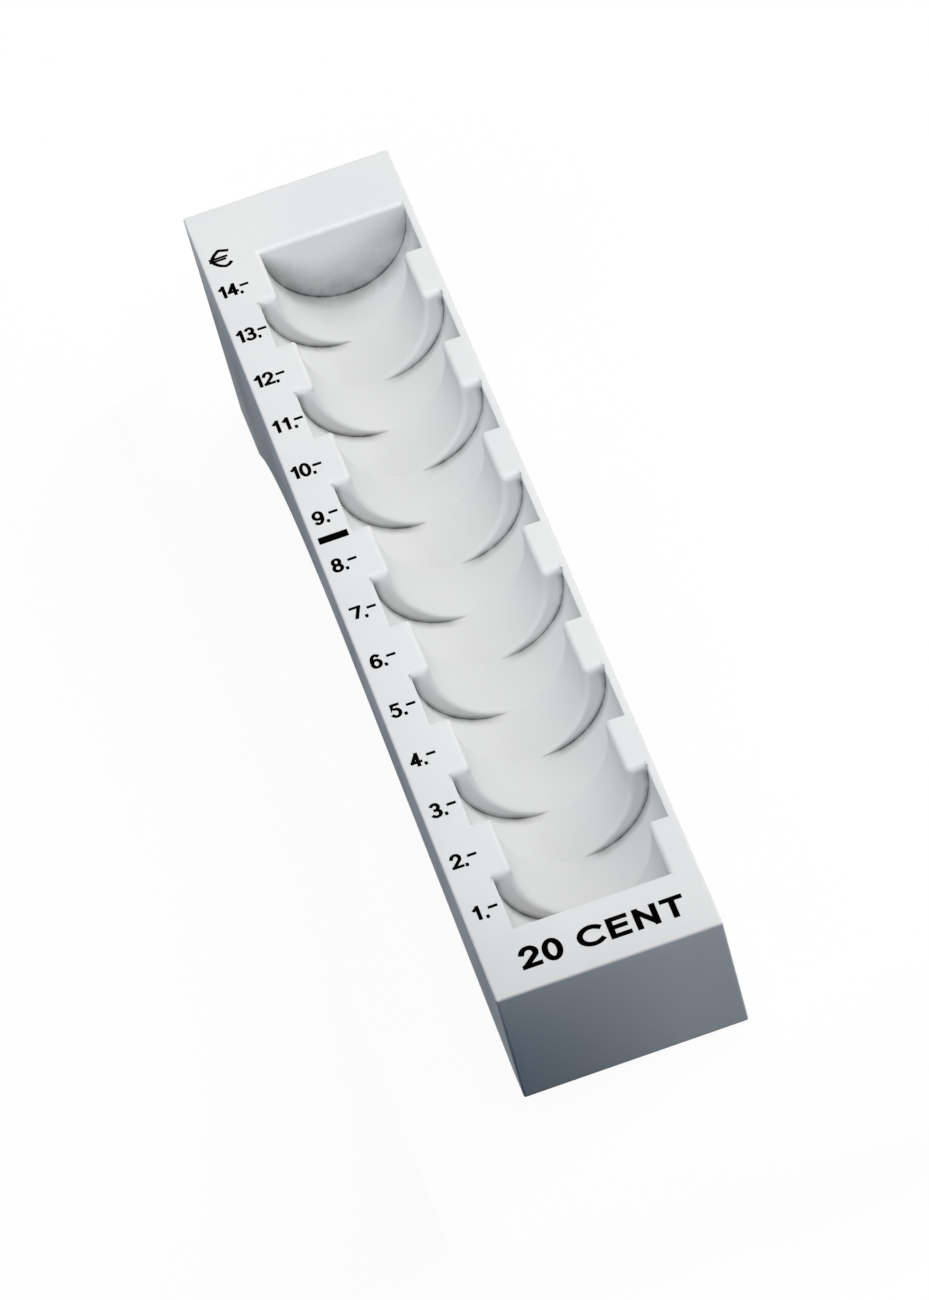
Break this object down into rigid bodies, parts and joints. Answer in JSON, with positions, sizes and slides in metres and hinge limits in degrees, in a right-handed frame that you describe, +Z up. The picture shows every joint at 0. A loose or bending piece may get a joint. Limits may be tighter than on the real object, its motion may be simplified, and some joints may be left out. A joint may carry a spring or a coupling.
{
  "type": "coin counting tray",
  "caption": "Narrow sloping tray with a row of half-round cells, stepped from side to side, that hold and count equal blocks of coins on edge.",
  "frame": {"origin": "middle of the footprint, on the surface that the feet stand on", "axes": "+X to the right seen from the low front, +Y along the tray to the tall back, +Z up"},
  "size_m": [0.0334, 0.1736, 0.039],
  "materials": {
    "tray_plastic": "fine satin, as moulded",
    "foot_rubber": "matt",
    "print_ink": "thin black pad printing"
  },
  "bodies": {
    "root": {"tray_moulding": "tray_plastic", "front_left_foot": "foot_rubber", "front_right_foot": "foot_rubber", "back_left_foot": "foot_rubber", "back_right_foot": "foot_rubber"}
  },
  "joints": []
}
